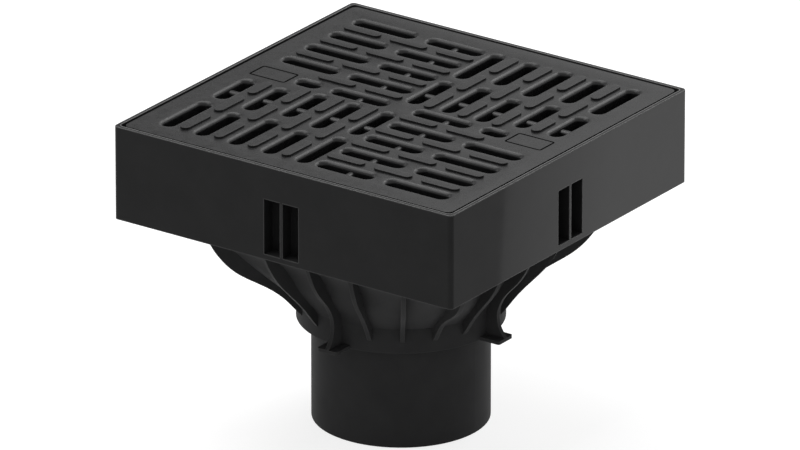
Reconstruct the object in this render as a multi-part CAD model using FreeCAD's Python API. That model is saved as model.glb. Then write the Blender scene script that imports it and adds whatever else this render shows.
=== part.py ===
import FreeCAD, Part
import math
import os

from FreeCAD import Vector

# Point drain: a moulded body and the cast grate that rests in its collar.
# Millimetres, +Z up, origin at the centre of the outlet spigot's lower end.

# Outlet spigot, and the wider ring at the funnel's foot
SPIGOT_DIAMETER = 110.0
SPIGOT_WALL = 3.2
SPIGOT_LENGTH = 66.0
RING_STEP = 9.25
RING_HEIGHT = 16.0
RING_FLOOR = 3.0
RING_FLOOR_RISE = 5.0

# Square collar: outer wall, inner wall behind it, and the floor round the funnel's mouth
COLLAR_WIDTH = 250.0
COLLAR_HEIGHT = 60.6
COLLAR_CORNER = 3.0
COLLAR_FLOOR = 3.6
FLOOR_BORDER = 22.5
RIM_WALL = 2.6
RIM_ROUNDING = 0.5
INNER_WALL = 2.5

# Ledge that carries the grate, measured down from the top of the rim
SEAT_DEPTH = 18.8
LEDGE_THICKNESS = 2.5

# Divided pocket in the middle of each side of the collar
POCKET_WIDTH = 25.4
POCKET_DEPTH = 9.0
POCKET_DIVIDER = 2.0
POCKET_SURROUND = 2.5

# Funnel from the square collar to the round ring
FUNNEL_HEIGHT = 58.7
FUNNEL_WALL = 3.0

# Radial ribs on the funnel
RIBS_PER_QUARTER = 5
RIB_THICKNESS = 2.8
RIB_OVERHANG = 8.0

# Sections of the funnel, and of the outline that its ribs follow, from the collar down to the ring:
# share of the funnel's height, share of the width beyond the ring, corner radius as a share of the half
# width. The ribs end just inside the ring.
FUNNEL_SECTIONS = (
    (0.00, 1.00, 0.13),
    (0.39, 0.70, 0.36),
    (0.61, 0.44, 0.54),
    (0.80, 0.20, 0.71),
    (0.91, 0.05, 0.82),
)
RIB_SECTIONS = (
    (0.00, 1.00, 0.12),
    (0.36, 0.82, 0.20),
    (0.58, 0.61, 0.42),
    (0.78, 0.34, 0.67),
    (0.94, 0.17, 0.84),
    (1.07, 0.06, 0.93),
    (1.16, -0.02, 1.00),
)

# Flat tabs at the ring, each under a rib with a waist that flares out to the tab's edge
TAB_REACH = 13.75
TAB_WIDTH = 14.6
TAB_THICKNESS = 2.2
TAB_CORNER = 1.5
TAB_WAIST_REACH = 8.6
TAB_WAIST_HEIGHT = 19.8

# Grate casting
GRATE_CLEARANCE = 1.6
GRATE_SETBACK = 0.7
GRATE_CORNER = 4.0
GRATE_PLATE = 10.0
GRATE_SKIRT = 10.0

# Slots: sizes over the rounded lip, set out in one quarter of the grate and turned three times
SLOT_ROWS = 5
SLOT_WIDTH = 12.4
SLOT_LIP = 2.2
SLOT_MARGIN = 14.1
SLOT_START = 9.0
SLOT_BRIDGE = 8.2
SLOT_STAGGER = 2.4

# Raised grip pads between the rows of slots
PADS_IN_ROW = 3
PAD_LENGTH = 27.0
PAD_WIDTH = 6.5
PAD_HEIGHT = 1.1
PAD_START = 8.3
PAD_MARGIN = 16.2

# Ribs under the plate, one across each quarter, seen through the slots
UNDER_RIB_PLACE = 32.0
UNDER_RIB_WIDTH = 5.0
UNDER_RIB_DROP = 3.4
UNDER_RIB_ROUNDING = 2.0

# Plain outlined panel in the middle of two opposite edges
PANEL_LENGTH = 27.0
PANEL_WIDTH = 16.6
PANEL_CORNER = 2.0
PANEL_MARGIN = 12.3
PANEL_GROOVE = 0.9
PANEL_GROOVE_DEPTH = 0.7
PANEL_END_GAP = 3.0
PANEL_SIDE_GAP = 6.5

# Heights of the main planes
RING_BOTTOM = SPIGOT_LENGTH
FUNNEL_BOTTOM = RING_BOTTOM + RING_HEIGHT
COLLAR_BOTTOM = FUNNEL_BOTTOM + FUNNEL_HEIGHT
FLOOR_TOP = COLLAR_BOTTOM + COLLAR_FLOOR
RIM_TOP = COLLAR_BOTTOM + COLLAR_HEIGHT
SEAT = RIM_TOP - SEAT_DEPTH
LEDGE_UNDERSIDE = SEAT - LEDGE_THICKNESS
GRATE_TOP = RIM_TOP - GRATE_SETBACK

# Radii, and half widths of square forms
SPIGOT_RADIUS = SPIGOT_DIAMETER / 2
BORE_RADIUS = SPIGOT_RADIUS - SPIGOT_WALL
RING_RADIUS = SPIGOT_RADIUS + RING_STEP
COLLAR_HALF = COLLAR_WIDTH / 2
RIM_INNER_HALF = COLLAR_HALF - RIM_WALL
INNER_WALL_HALF = COLLAR_HALF - POCKET_DEPTH
CHAMBER_HALF = INNER_WALL_HALF - INNER_WALL
FUNNEL_TOP_HALF = CHAMBER_HALF - FLOOR_BORDER + FUNNEL_WALL
RIB_TOP_HALF = FUNNEL_TOP_HALF + RIB_OVERHANG
GRATE_HALF = RIM_INNER_HALF - GRATE_CLEARANCE

# Places on the grate, measured from its centre
SLOT_END = GRATE_HALF - SLOT_MARGIN
SLOT_PITCH = (SLOT_END - SLOT_WIDTH / 2) / (SLOT_ROWS - 1)
PAD_END = GRATE_HALF - PAD_MARGIN
PANEL_OUTER = GRATE_HALF - PANEL_MARGIN
PANEL_INNER = PANEL_OUTER - PANEL_LENGTH
PANEL_SIDE = PANEL_WIDTH / 2 + PANEL_SIDE_GAP

QUARTER_TURNS = (0, 90, 180, 270)
PANEL_TURNS = (0, 180)
UP = Vector(0, 0, 1)
ORIGIN = Vector(0, 0, 0)
PAST = 1.0  # how far a cutting tool runs past the face that it opens


def around(x, y, radius, degrees, z):
    angle = math.radians(degrees)
    return Vector(x + radius * math.cos(angle), y + radius * math.sin(angle), z)


def rounded_rectangle_wire(x_half, y_half, corner, z):
    """Eight edges, anticlockwise from the +X side, so that any two such wires match edge by edge."""
    x = x_half - corner
    y = y_half - corner
    centres = ((x, y), (-x, y), (-x, -y), (x, -y))
    edges = []
    for turn, centre, last in zip(QUARTER_TURNS, centres, centres[-1:] + centres):
        start = around(*centre, corner, turn, z)
        edges.append(Part.LineSegment(around(*last, corner, turn, z), start).toShape())
        middle = around(*centre, corner, turn + 45, z)
        edges.append(Part.Arc(start, middle, around(*centre, corner, turn + 90, z)).toShape())
    return Part.Wire(edges)


def rounded_square_wire(half, corner, z):
    return rounded_rectangle_wire(half, half, corner, z)


def split_circle_wire(radius, z, side_angle):
    """A circle in eight arcs that match a rounded square: each side becomes an arc of this half angle."""
    circle = Part.Circle(Vector(0, 0, z), UP, radius)
    edges = []
    for turn in QUARTER_TURNS:
        stops = (turn - side_angle, turn + side_angle, turn + 90 - side_angle)
        for low, high in zip(stops, stops[1:]):
            edges.append(Part.Arc(circle, math.radians(low), math.radians(high)).toShape())
    return Part.Wire(edges)


def prism(wire, height):
    return Part.Face(wire).extrude(Vector(0, 0, height))


def rounded_square_prism(half, corner, z_low, z_high):
    return prism(rounded_square_wire(half, corner, z_low), z_high - z_low)


def box(x_low, x_high, y_low, y_high, z_low, z_high):
    size = (x_high - x_low, y_high - y_low, z_high - z_low)
    return Part.makeBox(*size, Vector(x_low, y_low, z_low))


def turned(shape, degrees):
    copy = shape.copy()
    copy.rotate(ORIGIN, UP, degrees)
    return copy


def four_ways(shape):
    return [turned(shape, turn) for turn in QUARTER_TURNS]


# Drain body


def section_sizes(sections, top_half):
    """Height, half width and corner radius of each section, from the collar down."""
    sizes = []
    for height_share, width_share, corner_share in sections:
        half = RING_RADIUS + width_share * (top_half - RING_RADIUS)
        sizes.append((COLLAR_BOTTOM - height_share * FUNNEL_HEIGHT, half, corner_share * half))
    return sizes


def funnel_solid(inset):
    """A smooth loft drawn in from the funnel's outer face, ending in a circle on top of the ring."""
    wires = []
    for z, half, corner in section_sizes(FUNNEL_SECTIONS, FUNNEL_TOP_HALF):
        wires.append(rounded_square_wire(half - inset, corner - inset, z))
        side_angle = math.degrees(math.atan2(half - corner, half))
    wires.append(split_circle_wire(RING_RADIUS - inset, FUNNEL_BOTTOM, side_angle))
    return Part.makeLoft(wires, True)


def section_reach(half, corner, degrees):
    """Distance from the centre to a rounded square, at this angle from the middle of a side."""
    folded = math.radians(abs((degrees + 45) % 90 - 45))
    straight = half - corner
    if math.tan(folded) * half < straight:
        return half / math.cos(folded)
    along = straight * (math.cos(folded) + math.sin(folded))
    return along + math.sqrt(along**2 - 2 * straight**2 + corner**2)


def rib_points(degrees):
    points = []
    for z, half, corner in section_sizes(RIB_SECTIONS, RIB_TOP_HALF):
        points.append(Vector(section_reach(half, corner, degrees), 0, z))
    return points


def rib(points, degrees):
    """A radial plate with a smooth outer edge through these points, closed inside the funnel."""
    curve = Part.BSplineCurve()
    curve.interpolate(points)
    top = points[0]
    foot = points[-1]
    corners = (foot, Vector(BORE_RADIUS, 0, foot.z), Vector(BORE_RADIUS, 0, top.z), top)
    edges = [curve.toShape()]
    for start, end in zip(corners, corners[1:]):
        edges.append(Part.LineSegment(start, end).toShape())
    plate = Part.Face(Part.Wire(edges)).extrude(Vector(0, RIB_THICKNESS, 0))
    plate.translate(Vector(0, -RIB_THICKNESS / 2, 0))
    return turned(plate, degrees)


def tab_rib(degrees):
    """Like the other ribs down to its waist, and from there out again to the edge of its tab."""
    waist = Vector(RING_RADIUS + TAB_WAIST_REACH, 0, RING_BOTTOM + TAB_WAIST_HEIGHT)
    edge = Vector(RING_RADIUS + TAB_REACH, 0, RING_BOTTOM + TAB_THICKNESS)
    above = [point for point in rib_points(0) if point.z > waist.z]
    return rib(above + [waist, edge], degrees)


def tab(degrees):
    half = TAB_WIDTH / 2
    reach = RING_RADIUS + TAB_REACH
    plate = box(BORE_RADIUS, reach, -half, half, RING_BOTTOM, RING_BOTTOM + TAB_THICKNESS)
    corners = [e for e in plate.Edges if e.BoundBox.XMin > RING_RADIUS and e.BoundBox.XLength < e.Length / 2]
    upright = [e for e in corners if e.BoundBox.ZLength > e.Length / 2]
    return turned(plate.makeFillet(TAB_CORNER, upright), degrees)


def ribs_and_tabs():
    pieces = []
    for turn in QUARTER_TURNS:
        pieces += [tab_rib(turn), tab(turn)]
        for i in range(1, RIBS_PER_QUARTER):
            degrees = turn + i * 90 / RIBS_PER_QUARTER
            pieces.append(rib(rib_points(degrees), degrees))
    return pieces


def waterway():
    """Everything inside the body that water runs through, from the rim to the end of the spigot."""
    recess = rounded_square_prism(RIM_INNER_HALF, COLLAR_CORNER, SEAT, RIM_TOP + PAST)
    chamber = rounded_square_prism(CHAMBER_HALF, COLLAR_CORNER, FLOOR_TOP, SEAT + PAST)
    _, top_half, top_corner = section_sizes(FUNNEL_SECTIONS, FUNNEL_TOP_HALF)[0]
    mouth = rounded_square_prism(
        top_half - FUNNEL_WALL, top_corner - FUNNEL_WALL, COLLAR_BOTTOM, FLOOR_TOP + PAST
    )
    ring_inside = RING_RADIUS - FUNNEL_WALL
    cone_bottom = RING_BOTTOM + RING_FLOOR
    cone_top = cone_bottom + RING_FLOOR_RISE
    well = Part.makeCylinder(ring_inside, FUNNEL_BOTTOM - cone_top, Vector(0, 0, cone_top))
    cone = Part.makeCone(BORE_RADIUS, ring_inside, RING_FLOOR_RISE, Vector(0, 0, cone_bottom))
    bore = Part.makeCylinder(BORE_RADIUS, cone_bottom + 2 * PAST, Vector(0, 0, -PAST))
    return [recess, chamber, mouth, funnel_solid(FUNNEL_WALL), well, cone, bore]


def pocket_cells():
    """Two cells on each side of the collar, parted by a divider."""
    cells = []
    near = POCKET_DIVIDER / 2
    far = POCKET_WIDTH / 2
    for low, high in ((-far, -near), (near, far)):
        cells += four_ways(box(INNER_WALL_HALF, COLLAR_HALF + PAST, low, high, FLOOR_TOP, LEDGE_UNDERSIDE))
    return cells


def skirt_channel():
    """Hollow between the collar's outer and inner walls, open underneath and stopped at the pockets."""
    z_low = COLLAR_BOTTOM - PAST
    outer = rounded_square_prism(RIM_INNER_HALF, COLLAR_CORNER, z_low, LEDGE_UNDERSIDE)
    inner = rounded_square_prism(INNER_WALL_HALF, COLLAR_CORNER, z_low, LEDGE_UNDERSIDE)
    stop_half = POCKET_WIDTH / 2 + POCKET_SURROUND
    stop = box(INNER_WALL_HALF, COLLAR_HALF, -stop_half, stop_half, z_low, LEDGE_UNDERSIDE)
    return outer.cut([inner] + four_ways(stop))


def collar_block():
    block = rounded_square_prism(COLLAR_HALF, COLLAR_CORNER, COLLAR_BOTTOM, RIM_TOP)
    rim = [e for e in block.Edges if e.BoundBox.ZMin > RIM_TOP - RIM_WALL]
    return block.makeFillet(RIM_ROUNDING, rim)


def drain_body():
    spigot = Part.makeCylinder(SPIGOT_RADIUS, SPIGOT_LENGTH)
    ring = Part.makeCylinder(RING_RADIUS, RING_HEIGHT, Vector(0, 0, RING_BOTTOM))
    solid = collar_block().fuse([funnel_solid(0), ring, spigot] + ribs_and_tabs())
    return solid.cut(waterway() + pocket_cells() + [skirt_channel()]).removeSplitter()


# Grate: one quarter has its rows along X, and the row on the axis is row 0


def stadium_wire(x_low, x_high, y, width, z):
    radius = width / 2
    left = x_low + radius
    right = x_high - radius
    low = y - radius
    high = y + radius
    edges = [
        Part.LineSegment(Vector(left, low, z), Vector(right, low, z)).toShape(),
        Part.Arc(Vector(right, low, z), Vector(x_high, y, z), Vector(right, high, z)).toShape(),
        Part.LineSegment(Vector(right, high, z), Vector(left, high, z)).toShape(),
        Part.Arc(Vector(left, high, z), Vector(x_low, y, z), Vector(left, low, z)).toShape(),
    ]
    return Part.Wire(edges)


def slot_well(x_low, x_high, y):
    """Cutting tool for the straight part of a slot, inside its lip."""
    width = SLOT_WIDTH - 2 * SLOT_LIP
    z_low = GRATE_TOP - GRATE_PLATE - PAST
    return prism(stadium_wire(x_low + SLOT_LIP, x_high - SLOT_LIP, y, width, z_low), GRATE_PLATE + 2 * PAST)


def slot_spans(row, turn):
    """Inner and outer slot of a row, kept clear of the panels."""
    stagger = SLOT_STAGGER if row % 2 else -SLOT_STAGGER
    middle = (SLOT_START + SLOT_END) / 2 + stagger
    start = SLOT_START
    end = SLOT_END
    if turn in PANEL_TURNS and row == 0:
        end = PANEL_INNER - PANEL_END_GAP
    if turn not in PANEL_TURNS and row * SLOT_PITCH + SLOT_WIDTH / 2 > PANEL_INNER:
        start = PANEL_SIDE
    return (start, middle - SLOT_BRIDGE / 2), (middle + SLOT_BRIDGE / 2, end)


def quarter_wells(turn):
    wells = []
    for row in range(SLOT_ROWS):
        for low, high in slot_spans(row, turn):
            wells.append(slot_well(low, high, -row * SLOT_PITCH))
    return [turned(well, turn) for well in wells]


def slotted_plate():
    """Plate and skirt in one, with every slot cut through and its lip rounded."""
    plate = rounded_square_prism(GRATE_HALF, GRATE_CORNER, SEAT, GRATE_TOP)
    hollow_half = GRATE_HALF - GRATE_SKIRT
    cuts = [rounded_square_prism(hollow_half, GRATE_CORNER, SEAT - PAST, GRATE_TOP - GRATE_PLATE)]
    for turn in QUARTER_TURNS:
        cuts += quarter_wells(turn)
    solid = plate.cut(cuts).Solids[0]
    top_edges = [e for e in solid.Edges if e.BoundBox.ZMin > GRATE_TOP - SLOT_LIP]
    lips = [e for e in top_edges if max(abs(e.CenterOfMass.x), abs(e.CenterOfMass.y)) < SLOT_END]
    return solid.makeFillet(SLOT_LIP, lips)


def pad_spans(row, turn):
    """Pads between a row of slots and the next, kept clear of the panels."""
    step = (PAD_END - PAD_START - PAD_LENGTH) / (PADS_IN_ROW - 1)
    starts = [PAD_START + i * step for i in range(PADS_IN_ROW)]
    spans = [(start, start + PAD_LENGTH) for start in starts]
    if turn in PANEL_TURNS and row == 0:
        spans = [span for span in spans if span[1] < PANEL_INNER]
    if turn not in PANEL_TURNS and (row + 1) * SLOT_PITCH > PANEL_INNER:
        spans[0] = (PANEL_SIDE, spans[0][1])
    return spans


def quarter_pads(turn):
    pads = []
    for row in range(SLOT_ROWS - 1):
        y = -(row + 0.5) * SLOT_PITCH
        for low, high in pad_spans(row, turn):
            pads.append(prism(stadium_wire(low, high, y, PAD_WIDTH, GRATE_TOP), PAD_HEIGHT))
    return [turned(pad, turn) for pad in pads]


def under_rib(turn):
    """Runs from the rib of the next quarter out to the skirt, across the inner slots."""
    half = UNDER_RIB_WIDTH / 2
    low = UNDER_RIB_PLACE - half
    high = UNDER_RIB_PLACE + half
    bar = box(low, high, half - GRATE_HALF, high, SEAT, GRATE_TOP - UNDER_RIB_DROP)
    upper = [e for e in bar.Edges if e.BoundBox.ZMin > SEAT and e.Length > GRATE_HALF]
    return turned(bar.makeFillet(UNDER_RIB_ROUNDING, upper), turn)


def panel_groove(turn):
    z = GRATE_TOP - PANEL_GROOVE_DEPTH
    height = PANEL_GROOVE_DEPTH + PAST
    x_half = PANEL_LENGTH / 2
    y_half = PANEL_WIDTH / 2
    outer = prism(rounded_rectangle_wire(x_half, y_half, PANEL_CORNER, z), height)
    inner_wire = rounded_rectangle_wire(
        x_half - PANEL_GROOVE, y_half - PANEL_GROOVE, PANEL_CORNER - PANEL_GROOVE, z
    )
    groove = outer.cut(prism(inner_wire, height))
    groove.translate(Vector((PANEL_INNER + PANEL_OUTER) / 2, 0, 0))
    return turned(groove, turn)


def grate():
    grooves = [panel_groove(turn) for turn in PANEL_TURNS]
    additions = []
    for turn in QUARTER_TURNS:
        additions += quarter_pads(turn) + [under_rib(turn)]
    return slotted_plate().cut(grooves).fuse(additions).removeSplitter()


os.makedirs("parts", exist_ok=True)
drain_body().exportStep("parts/drain_body.step")
grate().exportStep("parts/grate.step")
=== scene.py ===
import math

import bmesh
import bpy
from mathutils import Matrix, Vector

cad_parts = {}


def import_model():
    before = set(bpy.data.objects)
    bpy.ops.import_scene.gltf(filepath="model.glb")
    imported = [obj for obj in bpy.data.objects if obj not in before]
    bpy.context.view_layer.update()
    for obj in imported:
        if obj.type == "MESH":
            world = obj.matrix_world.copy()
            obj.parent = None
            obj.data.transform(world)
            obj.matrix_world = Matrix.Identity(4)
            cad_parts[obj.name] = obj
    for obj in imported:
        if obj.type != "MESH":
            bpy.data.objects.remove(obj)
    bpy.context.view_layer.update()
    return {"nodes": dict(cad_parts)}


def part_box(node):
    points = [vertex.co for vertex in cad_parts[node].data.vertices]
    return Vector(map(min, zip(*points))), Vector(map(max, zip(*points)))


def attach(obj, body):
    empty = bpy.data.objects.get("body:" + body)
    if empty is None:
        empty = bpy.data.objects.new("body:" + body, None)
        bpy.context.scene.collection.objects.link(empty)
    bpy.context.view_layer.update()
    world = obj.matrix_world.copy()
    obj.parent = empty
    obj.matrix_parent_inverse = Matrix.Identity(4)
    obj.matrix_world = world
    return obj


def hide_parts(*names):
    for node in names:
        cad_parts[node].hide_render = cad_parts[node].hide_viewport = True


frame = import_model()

MM = 0.001
QUARTER_TURN = math.pi / 2

# The photograph's view: the camera's turn, tilt and distance, and where its axis passes the rim's centre
VIEW_TURN = math.radians(35.242)
VIEW_TILT = math.radians(22.425)
VIEW_DISTANCE = 8.532921
VIEW_RIGHT = -0.644 * MM
VIEW_UP = -71.45 * MM
VIEW_NEAR = 1.0
VIEW_FAR = 40.0
FOCAL_PIXELS = 14062.8
PHOTO_PIXELS = 800
SENSOR = 36.0

# Places on the body; all but the rim's height lie just clear of the edge that they are named for
RIM_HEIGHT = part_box("drain_body")[1].z
RIM_LINE = RIM_HEIGHT - 0.5 * MM
COLLAR_FOOT = 140.0 * MM
UNDER_SPIGOT = -1.0 * MM
SPIGOT_RADIUS = 53.0 * MM

# Sizes of the grate, in metres; the plate's top lies a little under the highest point of the solid
grate_low, grate_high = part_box("grate")
PLATE_DROP = 0.75 * MM
GRATE_TOP = grate_high.z - PLATE_DROP
GRATE_SIZES = {
    "Half width": grate_high.x,
    "Depth": GRATE_TOP - grate_low.z,
    "Corner": 4.0 * MM,
    "Edge inset": 0.3 * MM,
    "Edge rounding": 0.1 * MM,
    "Plate": 10.0 * MM,
    "Skirt": 10.0 * MM,
    "Slot rows": 5.0,
    "Slot width": 13.6 * MM,
    "Slot lip": 2.8 * MM,
    "Row margin": 20.3 * MM,
    "Slot margin": 13.1 * MM,
    "Slot start": 8.2 * MM,
    "Slot bridge": 5.6 * MM,
    "Slot stagger": 2.4 * MM,
    "Pads in row": 3.0,
    "Pad length": 27.0 * MM,
    "Pad width": 6.5 * MM,
    "Pad height": 1.2 * MM,
    "Pad rounding": 0.15 * MM,
    "Pad start": 8.3 * MM,
    "Pad margin": 16.2 * MM,
    "Bar place": 32.0 * MM,
    "Bar width": 5.0 * MM,
    "Bar drop": 2.4 * MM,
    "Bar rounding": 2.0 * MM,
    "Panel length": 27.0 * MM,
    "Panel width": 16.6 * MM,
    "Panel corner": 2.0 * MM,
    "Panel margin": 12.3 * MM,
    "Panel groove": 1.3 * MM,
    "Panel groove depth": 1.2 * MM,
    "Panel end gap": 2.0 * MM,
    "Panel side gap": 5.7 * MM,
}
QUARTERS = 4
SLOTS_IN_ROW = 2
PANELS = 2

# Steps in the curved parts of the grate's mesh, and the distance within which its points are joined
END_STEPS = 18
CORNER_STEPS = 8
ROUND_STEPS = 6
WELD = 2e-6

# The attribute rim is 1 where a shell meets the plate's top, and -1 where it meets the underside;
# past this limit a point is on the plate, and so are both ends of an edge, which has their mean
RIM_LIMIT = 0.75

# Faces that meet at a smaller turn than this are shaded as one
SMOOTH_TURN = math.radians(32)

# Finishes: the colours and roughness between which each drifts, its gloss, and its drift and grain
MOULDED_PLASTIC = {
    "dark": (0.028, 0.028, 0.0285),
    "light": (0.032, 0.032, 0.0325),
    "roughness": (0.04, 0.06),
    "specular": 0.08,
    "cloud_scale": 40.0,
    "grain_scale": 1500.0,
    "grain_height": 0.0004 * MM,
}
COATED_IRON = {
    "dark": (0.010, 0.010, 0.0105),
    "light": (0.014, 0.014, 0.0145),
    "roughness": (0.24, 0.32),
    "specular": 0.25,
    "cloud_scale": 60.0,
    "grain_scale": 650.0,
    "grain_height": 0.003 * MM,
}
NOISE_RANGE = (0.35, 0.65)
CLOUD_DETAIL = 4.0
PATCH_DETAIL = 3.0
PATCHES_PER_CLOUD = 3
GRAIN_DETAIL = 2.0

# The body's edges and its faces under the collar; each painted edge highlight's grey holds from its height
# upwards
EDGE_RADIUS = 0.2 * MM
EDGE_SAMPLES = 6
# Painted highlights: outer edges are painted paler, as light caught by rounded edges would look, palest
# along the rim
HIGHLIGHT_REACH = 0.8 * MM
HIGHLIGHT_SAMPLES = 8
HIGHLIGHT_RANGE = (0.95, 0.6)
EDGE_HIGHLIGHT_GREYS = {UNDER_SPIGOT: 0.08, COLLAR_FOOT: 0.1, RIM_LINE: 0.25}
# Under the collar: added roughness, and a colour scale that is painted light lifting the shade there
SATIN_ROUGHER = 0.6
UNDERSIDE_PAINTED_LIGHT = 2.0

# Floor and background
WHITE = (1, 1, 1, 1)
FLOOR_GREY = (0.4, 0.4, 0.4)
FLOOR_ROUGHNESS = 0.9
FLOOR_GLOW = 0.8
FLOOR_HALF = 6.0
SKY_LIGHT = 0.25

# Cards on the floor: they meet in a line, y = CARD_EDGE + CARD_SLOPE * x, and reach from it along Y
CARD_SLOPE = 1.505
CARD_EDGE = -0.2745
CARD_X = (0.25, 0.55)
CARD_HEIGHT = 1.0 * MM
CARD_FADE = 0.12
FLOOR_CARDS = {
    "bright_card": {"reach": 0.6, "glow": (1.6, 2.65)},
    "dark_card": {"reach": -0.1, "glow": (0.95, 0.95)},
}

# Screen beside the drain, which fades along Y
SCREEN_X = -0.8
SCREEN_Y = (0.3, 1.8)
SCREEN_Z = (0.3, 1.0)
SCREEN_FADE = (0.8, 1.45)
SCREEN_GLOW = (0.36, 0.67)

# Lamps, in metres and watts
LAMPS = {
    "back_light": {
        "place": (0.25, 1.9, 1.7),
        "target": (0, 0, 0.15),
        "size": (1.8, 0.8),
        "power": 14.0,
    },
    "left_overhead": {
        "place": (-1.05, 0.05, 2.0),
        "target": (-1.05, 0.06, 0),
        "size": (0.9, 3.3),
        "power": 30.0,
    },
    "right_overhead": {
        "place": (-0.12, 0.25, 2.0),
        "target": (-0.12, 0.26, 0),
        "size": (0.95, 1.9),
        "power": 12.0,
    },
}


# Node trees, written as arithmetic


class Field:
    """A value inside a node tree; arithmetic on it adds maths nodes to the tree."""

    # Added before rounding down, so that a whole number never falls one short
    COUNT_SLACK = 1e-4

    def __init__(self, tree, socket):
        self.tree = tree
        self.socket = socket

    def maths(self, operation, *others):
        return self.tree.maths(operation, self, *others)

    def __add__(self, other):
        return self.maths("ADD", other)

    def __sub__(self, other):
        return self.maths("SUBTRACT", other)

    def __rsub__(self, other):
        return self.tree.maths("SUBTRACT", other, self)

    def __mul__(self, other):
        return self.maths("MULTIPLY", other)

    def __rmul__(self, other):
        return self.tree.maths("MULTIPLY", other, self)

    def __truediv__(self, other):
        return self.maths("DIVIDE", other)

    def __floordiv__(self, other):
        return (self / other + self.COUNT_SLACK).maths("FLOOR")

    def __mod__(self, other):
        return self - (self // other) * other

    def __gt__(self, other):
        return self.maths("GREATER_THAN", other)

    def __lt__(self, other):
        return self.maths("LESS_THAN", other)

    def under(self, count):
        """1 for whole numbers under the count, and 0 from it on."""
        return self < count - 0.5

    def reaches(self, count):
        """1 for whole numbers from the count on, and 0 under it."""
        return self > count - 0.5

    def limited(self):
        """The value, kept between 0 and 1."""
        return self.maths("MAXIMUM", 0.0).maths("MINIMUM", 1.0)

    def cos(self):
        return self.maths("COSINE")

    def sin(self):
        return self.maths("SINE")


def pick(test, yes, no):
    return no + (yes - no) * test


class Tree:
    """A Geometry Nodes tree with named sizes as its inputs."""

    def __init__(self, name, sizes):
        self.group = bpy.data.node_groups.new(name, "GeometryNodeTree")
        self.sizes = sizes
        self.sockets = {}
        for label in sizes:
            self.sockets[label] = self.group.interface.new_socket(
                label, in_out="INPUT", socket_type="NodeSocketFloat"
            )
        self.group.interface.new_socket("Geometry", in_out="OUTPUT", socket_type="NodeSocketGeometry")
        self.entry = self.group.nodes.new("NodeGroupInput")

    def size(self, label):
        return Field(self, self.entry.outputs[label])

    def add(self, kind, values, **settings):
        node = self.group.nodes.new(kind)
        for name, value in settings.items():
            setattr(node, name, value)
        for key, value in values.items():
            if isinstance(value, Field):
                self.group.links.new(value.socket, node.inputs[key])
            else:
                node.inputs[key].default_value = value
        return Field(self, node.outputs[0])

    def maths(self, operation, *values):
        return self.add("ShaderNodeMath", dict(enumerate(values)), operation=operation)

    def vector(self, x, y, z):
        return self.add("ShaderNodeCombineXYZ", {"X": x, "Y": y, "Z": z})

    def index(self):
        return self.add("GeometryNodeInputIndex", {})

    def store(self, geometry, name, value):
        values = {"Geometry": geometry, "Name": name, "Value": value}
        return self.add("GeometryNodeStoreNamedAttribute", values, data_type="FLOAT", domain="POINT")

    def stored(self, name):
        return self.add("GeometryNodeInputNamedAttribute", {"Name": name}, data_type="FLOAT")

    def move(self, geometry, offset):
        return self.add("GeometryNodeSetPosition", {"Geometry": geometry, "Offset": offset})

    def place(self, geometry, position):
        return self.add("GeometryNodeSetPosition", {"Geometry": geometry, "Position": position})

    def join(self, pieces):
        node = self.group.nodes.new("GeometryNodeJoinGeometry")
        for piece in reversed(pieces):
            self.group.links.new(piece.socket, node.inputs[0])
        return Field(self, node.outputs[0])

    def weld(self, geometry):
        return self.add("GeometryNodeMergeByDistance", {"Geometry": geometry, "Distance": WELD})

    def turned_copies(self, points, piece, turn, chosen=True):
        rotation = self.add("FunctionNodeEulerToRotation", {0: self.vector(0.0, 0.0, turn)})
        values = {"Points": points, "Instance": piece, "Rotation": rotation, "Selection": chosen}
        copies = self.add("GeometryNodeInstanceOnPoints", values)
        return self.add("GeometryNodeRealizeInstances", {"Geometry": copies})

    def sheet(self, columns, rows):
        """A grid, and the column and row of each of its points."""
        grid = self.add("GeometryNodeMeshGrid", {"Vertices X": columns, "Vertices Y": rows})
        column = self.index() // rows
        return grid, column, self.index() - column * rows

    def finish(self, geometry, material):
        geometry = self.add("GeometryNodeRealizeInstances", {"Geometry": geometry})
        geometry = self.add("GeometryNodeSetMaterial", {"Geometry": geometry, "Material": material})
        exit_node = self.group.nodes.new("NodeGroupOutput")
        self.group.links.new(geometry.socket, exit_node.inputs[0])

    def mesh(self, name):
        """The tree's result as a plain mesh."""
        empty = bpy.data.meshes.new(name + "_holder")
        holder = bpy.data.objects.new(empty.name, empty)
        bpy.context.scene.collection.objects.link(holder)
        modifier = holder.modifiers.new(name, "NODES")
        modifier.node_group = self.group
        for label, socket in self.sockets.items():
            modifier[socket.identifier] = self.sizes[label]
        graph = bpy.context.evaluated_depsgraph_get()
        result = bpy.data.meshes.new_from_object(holder.evaluated_get(graph), depsgraph=graph)
        result.name = name
        bpy.data.objects.remove(holder)
        bpy.data.meshes.remove(empty)
        return result


# Grate


def stadium_sheet(tree, rows):
    """A grid bent round a slot or pad of no length; the attribute end tells its two halves apart."""
    in_half = END_STEPS + 1
    grid, column, row = tree.sheet(2 * in_half + 1, rows)
    half = column // in_half
    step = column - half * in_half
    angle = math.pi * (step / END_STEPS + half - 0.5)
    return tree.store(grid, "end", 1 - 2 * (half % 2)), row, angle


def slot_profile(tree):
    """From the plate over a rounded lip and down the well's wall."""
    last = ROUND_STEPS + 1
    grid, row, angle = stadium_sheet(tree, last + 1)
    lip = tree.size("Slot lip")
    bend = (row / ROUND_STEPS).limited() * QUARTER_TURN
    radius = tree.size("Slot width") / 2 - lip * bend.sin()
    foot = row.reaches(last)
    z = lip * (bend.cos() - 1) - foot * (tree.size("Plate") - lip)
    grid = tree.store(grid, "rim", row.under(1) - foot)
    return tree.place(grid, tree.vector(radius * angle.cos(), radius * angle.sin(), z))


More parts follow.
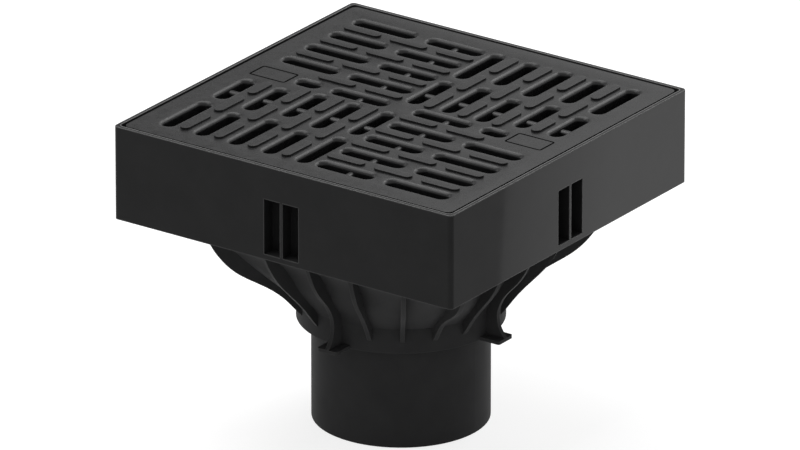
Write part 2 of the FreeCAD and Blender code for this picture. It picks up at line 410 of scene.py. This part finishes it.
def pad_profile(tree):
    """From the plate up a short wall, over a rounded edge and in to the middle."""
    last = ROUND_STEPS + 2
    grid, row, angle = stadium_sheet(tree, last + 1)
    rounding = tree.size("Pad rounding")
    bend = ((row - 1) / ROUND_STEPS).limited() * QUARTER_TURN
    rim = row.under(1)
    radius = (tree.size("Pad width") / 2 - rounding * (1 - bend.cos())) * row.under(last)
    z = (tree.size("Pad height") - rounding * (1 - bend.sin())) * (1 - rim)
    grid = tree.store(grid, "rim", rim)
    return tree.place(grid, tree.vector(radius * angle.cos(), radius * angle.sin(), z))


def stretched_copies(tree, count, low, high, y, quarter, width, profile, chosen=True):
    """The profile at each point, drawn out from low to high along its row and turned with its quarter."""
    turn = quarter * QUARTER_TURN
    points = tree.add("GeometryNodePoints", {"Count": count})
    points = tree.store(points, "turn", turn)
    points = tree.store(points, "half", (high - low - width) / 2)
    x = (low + high) / 2
    place = tree.vector(x * turn.cos() - y * turn.sin(), x * turn.sin() + y * turn.cos(), 0.0)
    points = tree.place(points, place)
    copies = tree.turned_copies(points, profile, tree.stored("turn"), chosen)
    reach = tree.stored("end") * tree.stored("half")
    way = tree.stored("turn")
    copies = tree.move(copies, tree.vector(reach * way.cos(), reach * way.sin(), 0.0))
    return tree.weld(copies)


def panel_places(tree):
    """Outer and inner end of a panel, and how far beside its middle line the slots and pads begin."""
    outer = tree.size("Half width") - tree.size("Panel margin")
    inner = outer - tree.size("Panel length")
    return outer, inner, tree.size("Panel width") / 2 + tree.size("Panel side gap")


def row_pitch(tree):
    return (tree.size("Half width") - tree.size("Row margin")) / (tree.size("Slot rows") - 1)


def slots(tree):
    """Two slots in each row of each quarter, kept clear of the panels, which lie on quarters 0 and 2."""
    rows = tree.size("Slot rows")
    in_quarter = rows * SLOTS_IN_ROW
    quarter = tree.index() // in_quarter
    rest = tree.index() - quarter * in_quarter
    row = rest // SLOTS_IN_ROW
    outer_slot = rest - row * SLOTS_IN_ROW
    beside_panel = quarter % 2
    start = tree.size("Slot start")
    end = tree.size("Half width") - tree.size("Slot margin")
    pitch = row_pitch(tree)
    width = tree.size("Slot width")
    _, panel_inner, panel_side = panel_places(tree)
    at_panel = (row * pitch + width / 2) > panel_inner
    first = pick(beside_panel * at_panel, panel_side, start)
    last = pick((1 - beside_panel) * row.under(1), panel_inner - tree.size("Panel end gap"), end)
    middle = (start + end) / 2 + tree.size("Slot stagger") * (2 * (row % 2) - 1)
    bridge = tree.size("Slot bridge") / 2
    low = pick(outer_slot, middle + bridge, first)
    high = pick(outer_slot, last, middle - bridge)
    y = 0 - row * pitch
    profile = slot_profile(tree)
    return stretched_copies(tree, in_quarter * QUARTERS, low, high, y, quarter, width, profile)


def pads(tree):
    """Pads between the rows of slots; one is left out beside each panel."""
    in_row = tree.size("Pads in row")
    in_quarter = (tree.size("Slot rows") - 1) * in_row
    quarter = tree.index() // in_quarter
    rest = tree.index() - quarter * in_quarter
    row = rest // in_row
    number = rest - row * in_row
    beside_panel = quarter % 2
    pitch = row_pitch(tree)
    length = tree.size("Pad length")
    start = tree.size("Pad start")
    end = tree.size("Half width") - tree.size("Pad margin")
    _, panel_inner, panel_side = panel_places(tree)
    begin = start + number * (end - start - length) / (in_row - 1)
    high = begin + length
    at_panel = ((row + 1) * pitch > panel_inner) * number.under(1)
    low = pick(beside_panel * at_panel, panel_side, begin)
    left_out = (1 - beside_panel) * row.under(1) * (high > panel_inner)
    y = 0 - (row + 0.5) * pitch
    width = tree.size("Pad width")
    profile = pad_profile(tree)
    count = in_quarter * QUARTERS
    return stretched_copies(tree, count, low, high, y, quarter, width, profile, 1 - left_out)


def rounded_rectangle(tree, rows):
    """A grid bent round a rectangle: each point's row, its angle at its corner, and the corner's signs."""
    in_corner = CORNER_STEPS + 1
    grid, column, row = tree.sheet(QUARTERS * in_corner + 1, rows)
    corner = column // in_corner
    angle = ((column - corner * in_corner) / CORNER_STEPS + corner) * QUARTER_TURN
    diagonal = (corner + 0.5) * QUARTER_TURN
    across = (diagonal.cos() > 0) * 2 - 1
    along = (diagonal.sin() > 0) * 2 - 1
    return grid, row, angle, across, along


def skirt(tree):
    """Rounded upper edge, outer side, lower face and inner side of the grate's frame."""
    side = ROUND_STEPS + 1
    inner = ROUND_STEPS + 2
    last = ROUND_STEPS + 3
    grid, row, angle, across, along = rounded_rectangle(tree, last + 1)
    rounding = tree.size("Edge rounding")
    bend = (row / ROUND_STEPS).limited() * QUARTER_TURN
    low = row.reaches(side)
    inside = row.reaches(inner)
    top = row.reaches(last)
    inset = pick(inside, tree.size("Skirt"), rounding * (1 - bend.sin()))
    corner = tree.size("Corner") - inset * (1 - inside)
    z = rounding * (bend.cos() - 1) * (1 - low) - tree.size("Depth") * (low - top) - tree.size("Plate") * top
    straight = tree.size("Half width") - tree.size("Edge inset") - inset - corner
    grid = tree.store(grid, "rim", row.under(1) - top)
    x = across * straight + corner * angle.cos()
    y = along * straight + corner * angle.sin()
    return tree.weld(tree.place(grid, tree.vector(x, y, z)))


def panel_grooves(tree):
    """A shallow groove round each of the two plain panels."""
    inner = 2
    last = 3
    grid, row, angle, across, along = rounded_rectangle(tree, last + 1)
    inset = tree.size("Panel groove") * row.reaches(inner)
    rim = row.under(1) + row.reaches(last)
    corner = tree.size("Panel corner")
    x = across * (tree.size("Panel length") / 2 - corner) + (corner - inset) * angle.cos()
    y = along * (tree.size("Panel width") / 2 - corner) + (corner - inset) * angle.sin()
    z = tree.size("Panel groove depth") * (rim - 1)
    outer_end, inner_end, _ = panel_places(tree)
    grid = tree.store(grid, "rim", rim)
    groove = tree.place(grid, tree.vector(x + (outer_end + inner_end) / 2, y, z))
    points = tree.add("GeometryNodePoints", {"Count": PANELS})
    return tree.weld(tree.turned_copies(points, groove, tree.index() * math.pi))


def bars(tree):
    """Bars under the plate, one across each quarter, with rounded edges."""
    half = tree.size("Bar width") / 2
    place = tree.size("Bar place")
    drop = tree.size("Bar drop")
    depth = tree.size("Depth")
    middle = (drop + depth) / -2
    start = tree.vector(place, half - tree.size("Half width"), middle)
    end = tree.vector(place, place + half, middle)
    line = tree.add("GeometryNodeCurvePrimitiveLine", {"Start": start, "End": end})
    line = tree.add("GeometryNodeSetCurveNormal", {"Curve": line}, mode="Z_UP")
    section = tree.add(
        "GeometryNodeCurvePrimitiveQuadrilateral", {"Width": half * 2, "Height": depth - drop}
    )
    rounded = {"Curve": section, "Radius": tree.size("Bar rounding"), "Count": ROUND_STEPS}
    section = tree.add("GeometryNodeFilletCurve", rounded, mode="POLY")
    bar = tree.add(
        "GeometryNodeCurveToMesh", {"Curve": line, "Profile Curve": section, "Fill Caps": True}
    )
    points = tree.add("GeometryNodePoints", {"Count": QUARTERS})
    return tree.turned_copies(points, bar, tree.index() * QUARTER_TURN)


def plate_face(tree, shells, loops):
    curves = tree.add("GeometryNodeMeshToCurve", {"Mesh": shells, "Selection": loops})
    return tree.add("GeometryNodeFillCurve", {"Curve": curves}, mode="TRIANGLES")


def shade(mesh):
    """Turns the faces outwards and shades the curved ones smooth, with the outlines on the plate sharp."""
    shell = bmesh.new()
    shell.from_mesh(mesh)
    bmesh.ops.recalc_face_normals(shell, faces=shell.faces)
    for face in shell.faces:
        face.smooth = True
    rim = shell.verts.layers.float["rim"]
    for edge in shell.edges:
        on_plate = all(abs(vertex[rim]) > RIM_LIMIT for vertex in edge.verts)
        edge.smooth = not on_plate and edge.calc_face_angle(math.pi) < SMOOTH_TURN
    shell.to_mesh(mesh)
    shell.free()


def grate_mesh(material):
    tree = Tree("slotted_grate", GRATE_SIZES)
    shells = tree.join([skirt(tree), slots(tree), pads(tree), panel_grooves(tree)])
    rim = tree.stored("rim")
    top = plate_face(tree, shells, rim > RIM_LIMIT)
    under = plate_face(tree, shells, rim < -RIM_LIMIT)
    under = tree.move(under, tree.vector(0.0, 0.0, 0 - tree.size("Plate")))
    whole = tree.weld(tree.join([shells, top, under]))
    whole = tree.join([whole, bars(tree)])
    whole = tree.move(whole, tree.vector(0.0, 0.0, GRATE_TOP))
    tree.finish(whole, material)
    mesh = tree.mesh("grate_casting")
    shade(mesh)
    for name in ("rim", "end", "half", "turn"):
        mesh.attributes.remove(mesh.attributes[name])
    return mesh


def add_piece(mesh, slot_name, *nodes):
    piece = bpy.data.objects.new(mesh.name, mesh)
    bpy.context.scene.collection.objects.link(piece)
    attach(piece, "root")
    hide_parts(*nodes)


# Finishes


def plain_material(name, colour, roughness, specular):
    material = bpy.data.materials.new(name)
    material.use_nodes = True
    shader = material.node_tree.nodes["Principled BSDF"]
    shader.inputs["Base Color"].default_value = (*colour, 1)
    shader.inputs["Roughness"].default_value = roughness
    shader.inputs["Specular IOR Level"].default_value = specular
    return material


def noise(material, scale, detail):
    """Noise on the piece's own coordinates, in metres."""
    nodes = material.node_tree.nodes
    place = nodes.new("ShaderNodeTexCoord")
    node = nodes.new("ShaderNodeTexNoise")
    node.inputs["Scale"].default_value = scale
    node.inputs["Detail"].default_value = detail
    material.node_tree.links.new(place.outputs["Object"], node.inputs["Vector"])
    return node.outputs["Fac"]


def mapped(tree, value, low, high, span=(0.0, 1.0)):
    """The value's way through the span, turned into the way from low to high."""
    node = tree.nodes.new("ShaderNodeMapRange")
    node.inputs["From Min"].default_value = span[0]
    node.inputs["From Max"].default_value = span[1]
    node.inputs["To Min"].default_value = low
    node.inputs["To Max"].default_value = high
    tree.links.new(value, node.inputs["Value"])
    return node.outputs["Result"]


def finish_material(name, dark, light, roughness, specular, cloud_scale, grain_scale, grain_height):
    """A dark finish whose colour and roughness drift slowly, with a fine grain that tilts it."""
    material = plain_material(name, light, roughness[0], specular)
    tree = material.node_tree
    shader = tree.nodes["Principled BSDF"]

    ramp = tree.nodes.new("ShaderNodeValToRGB")
    for element, position, colour in zip(ramp.color_ramp.elements, NOISE_RANGE, (dark, light)):
        element.position = position
        element.color = (*colour, 1)
    tree.links.new(noise(material, cloud_scale, CLOUD_DETAIL), ramp.inputs["Fac"])
    tree.links.new(ramp.outputs["Color"], shader.inputs["Base Color"])

    patches = noise(material, PATCHES_PER_CLOUD * cloud_scale, PATCH_DETAIL)
    tree.links.new(mapped(tree, patches, *roughness, NOISE_RANGE), shader.inputs["Roughness"])

    bump = tree.nodes.new("ShaderNodeBump")
    bump.inputs["Strength"].default_value = 1.0
    bump.inputs["Distance"].default_value = grain_height
    tree.links.new(noise(material, grain_scale, GRAIN_DETAIL), bump.inputs["Height"])
    tree.links.new(bump.outputs["Normal"], shader.inputs["Normal"])
    return material


def round_edges(material):
    """Sharp edges catch light as if they had a small radius."""
    nodes = material.node_tree.nodes
    rounding = nodes.new("ShaderNodeBevel")
    rounding.samples = EDGE_SAMPLES
    rounding.inputs["Radius"].default_value = EDGE_RADIUS
    material.node_tree.links.new(rounding.outputs["Normal"], nodes["Bump"].inputs["Normal"])


def maths_node(tree, operation, *values):
    """A maths node's result; the values are sockets or plain numbers."""
    node = tree.nodes.new("ShaderNodeMath")
    node.operation = operation
    for place, value in zip(node.inputs, values):
        if isinstance(value, bpy.types.NodeSocket):
            tree.links.new(value, place)
        else:
            place.default_value = value
    return node.outputs[0]


def own_height(tree):
    """Height of a point in the piece's own coordinates."""
    place = tree.nodes.new("ShaderNodeTexCoord")
    split = tree.nodes.new("ShaderNodeSeparateXYZ")
    tree.links.new(place.outputs["Object"], split.inputs["Vector"])
    return split.outputs["Z"]


def satin_and_painted_light_below(material, height):
    """The faces below a height are rougher, as the mould leaves them, and painted paler: painted light that
    lifts their shade.
    """
    tree = material.node_tree
    shader = tree.nodes["Principled BSDF"]
    below = maths_node(tree, "LESS_THAN", own_height(tree), height)

    roughness = shader.inputs["Roughness"]
    plain = roughness.links[0].from_socket
    tree.links.new(maths_node(tree, "MULTIPLY_ADD", below, SATIN_ROUGHER, plain), roughness)

    # Painted light: the base colour below the height is scaled paler, lifting the shade under the collar
    base = shader.inputs["Base Color"]
    painted_lift = tree.nodes.new("ShaderNodeVectorMath")
    painted_lift.operation = "SCALE"
    tree.links.new(base.links[0].from_socket, painted_lift.inputs[0])
    tree.links.new(mapped(tree, below, 1.0, UNDERSIDE_PAINTED_LIGHT), painted_lift.inputs["Scale"])
    tree.links.new(painted_lift.outputs["Vector"], base)


def painted_edge_highlights(material):
    """Outer edges are painted paler, over about half the reach on each side: painted highlights standing in
    for light caught by rounded edges.
    """
    tree = material.node_tree
    base = tree.nodes["Principled BSDF"].inputs["Base Color"]
    inner = tree.nodes.new("ShaderNodeAmbientOcclusion")
    inner.inside = True
    inner.only_local = True
    inner.samples = HIGHLIGHT_SAMPLES
    inner.inputs["Distance"].default_value = HIGHLIGHT_REACH
    highlight_mask = mapped(tree, inner.outputs["AO"], 0.0, 1.0, HIGHLIGHT_RANGE)
    # Each height's grey is a painted highlight on the outer edges above it
    for height, grey in EDGE_HIGHLIGHT_GREYS.items():
        above = maths_node(tree, "GREATER_THAN", own_height(tree), height)
        blend = tree.nodes.new("ShaderNodeMix")
        blend.data_type = "RGBA"
        factor, plain, highlighted = blend.inputs[0], blend.inputs[6], blend.inputs[7]
        result = blend.outputs[2]
        highlighted.default_value = (grey, grey, grey, 1)
        tree.links.new(maths_node(tree, "MULTIPLY", highlight_mask, above), factor)
        tree.links.new(base.links[0].from_socket, plain)
        tree.links.new(result, base)


def moulded_plastic():
    material = finish_material("moulded_plastic", **MOULDED_PLASTIC)
    round_edges(material)
    satin_and_painted_light_below(material, COLLAR_FOOT)
    painted_edge_highlights(material)
    return material


def coated_iron():
    return finish_material("coated_iron", **COATED_IRON)


# Camera


def aim(place, back, up):
    right = up.cross(back)
    turn = Matrix((right, up, back)).transposed().to_4x4()
    return Matrix.Translation(place) @ turn


def photo_camera():
    right = Vector((math.cos(VIEW_TURN), math.sin(VIEW_TURN), 0))
    back = Vector((
        math.sin(VIEW_TURN) * math.cos(VIEW_TILT),
        -math.cos(VIEW_TURN) * math.cos(VIEW_TILT),
        math.sin(VIEW_TILT),
    ))
    up = back.cross(right)
    data = bpy.data.cameras.new("photo_camera")
    data.sensor_width = SENSOR
    data.lens = SENSOR * FOCAL_PIXELS / PHOTO_PIXELS
    data.clip_start = VIEW_NEAR
    data.clip_end = VIEW_FAR
    camera = bpy.data.objects.new("photo_camera", data)
    bpy.context.scene.collection.objects.link(camera)
    place = Vector((0, 0, RIM_HEIGHT)) + VIEW_RIGHT * right + VIEW_UP * up + VIEW_DISTANCE * back
    camera.matrix_world = aim(place, back, up)
    bpy.context.scene.camera = camera


# Floor, background and light


def white_to_eye(tree):
    """1 for rays that look at the background, straight on or in a reflection, and 0 for rays that light."""
    path = tree.nodes.new("ShaderNodeLightPath")
    total = path.outputs["Is Camera Ray"]
    for name in ("Is Glossy Ray", "Is Transmission Ray"):
        total = maths_node(tree, "MAXIMUM", total, path.outputs[name])
    return total


def stage_plane(name, corners, material):
    mesh = bpy.data.meshes.new(name)
    mesh.from_pydata(corners, [], [(0, 1, 2, 3)])
    mesh.materials.append(material)
    plane = bpy.data.objects.new(name, mesh)
    bpy.context.scene.collection.objects.link(plane)
    return plane


def floor():
    """Pale floor that keeps shadows and looks white elsewhere, but not inside the spigot."""
    material = plain_material("studio_floor", FLOOR_GREY, FLOOR_ROUGHNESS, specular=0.0)
    tree = material.node_tree
    shader = tree.nodes["Principled BSDF"]
    shader.inputs["Emission Color"].default_value = WHITE
    place = tree.nodes.new("ShaderNodeTexCoord")
    distance = tree.nodes.new("ShaderNodeVectorMath")
    distance.operation = "LENGTH"
    tree.links.new(place.outputs["Object"], distance.inputs[0])
    outside = maths_node(tree, "GREATER_THAN", distance.outputs["Value"], SPIGOT_RADIUS)
    glow = mapped(tree, white_to_eye(tree), 0.0, FLOOR_GLOW)
    tree.links.new(maths_node(tree, "MULTIPLY", glow, outside), shader.inputs["Emission Strength"])
    half = FLOOR_HALF
    corners = [(-half, -half, 0), (half, -half, 0), (half, half, 0), (-half, half, 0)]
    stage_plane("studio_floor", corners, material)


def world():
    sky = bpy.data.worlds.new("studio")
    bpy.context.scene.world = sky
    sky.use_nodes = True
    tree = sky.node_tree
    background = tree.nodes["Background"]
    background.inputs["Color"].default_value = WHITE
    strength = mapped(tree, white_to_eye(tree), SKY_LIGHT, 1.0)
    tree.links.new(strength, background.inputs["Strength"])


def lamp(name, place, target, size, power):
    data = bpy.data.lights.new(name, "AREA")
    data.shape = "RECTANGLE"
    data.size, data.size_y = size
    data.energy = power
    light = bpy.data.objects.new(name, data)
    bpy.context.scene.collection.objects.link(light)
    back = (Vector(place) - Vector(target)).normalized()
    side = Vector((0, 0, 1)).cross(back).normalized()
    light.matrix_world = aim(Vector(place), back, back.cross(side))


def reflection_card(name, corners, way, span, glow):
    """Card that only reflections see; its glow changes over a span of the distance along a way."""
    material = bpy.data.materials.new(name)
    material.use_nodes = True
    tree = material.node_tree
    tree.nodes.clear()
    place = tree.nodes.new("ShaderNodeTexCoord")
    along = tree.nodes.new("ShaderNodeVectorMath")
    along.operation = "DOT_PRODUCT"
    along.inputs[1].default_value = way
    tree.links.new(place.outputs["Object"], along.inputs[0])
    shader = tree.nodes.new("ShaderNodeEmission")
    strength = mapped(tree, along.outputs["Value"], *glow, span)
    tree.links.new(strength, shader.inputs["Strength"])
    exit_node = tree.nodes.new("ShaderNodeOutputMaterial")
    tree.links.new(shader.outputs["Emission"], exit_node.inputs["Surface"])
    card = stage_plane(name, corners, material)
    card.visible_camera = False
    card.visible_diffuse = False
    card.visible_transmission = False
    card.visible_shadow = False


def floor_cards():
    """The right-hand side reflects the bright card, and the dark one in the strip at its front corner."""
    edge = [(x, CARD_EDGE + CARD_SLOPE * x, CARD_HEIGHT) for x in CARD_X]
    way = (-CARD_SLOPE, 1, 0)
    span = (CARD_EDGE, CARD_EDGE + CARD_FADE)
    for name, card in FLOOR_CARDS.items():
        far_edge = [(x, y + card["reach"], z) for x, y, z in reversed(edge)]
        reflection_card(name, edge + far_edge, way, span, card["glow"])


def side_screen():
    """Greys what the left half of the plate reflects."""
    near, far = SCREEN_Y
    low, high = SCREEN_Z
    corners = [(SCREEN_X, y, z) for y, z in ((near, low), (far, low), (far, high), (near, high))]
    reflection_card("side_screen", corners, (0, 1, 0), SCREEN_FADE, SCREEN_GLOW)


# Scene

bpy.context.scene.view_settings.view_transform = "Standard"
photo_camera()
floor()
world()
floor_cards()
side_screen()
for lamp_name, settings in LAMPS.items():
    lamp(lamp_name, **settings)

body_mesh = frame["nodes"]["drain_body"].data
body_mesh.materials.clear()
body_mesh.materials.append(moulded_plastic())
add_piece(grate_mesh(coated_iron()), "casting", "grate")
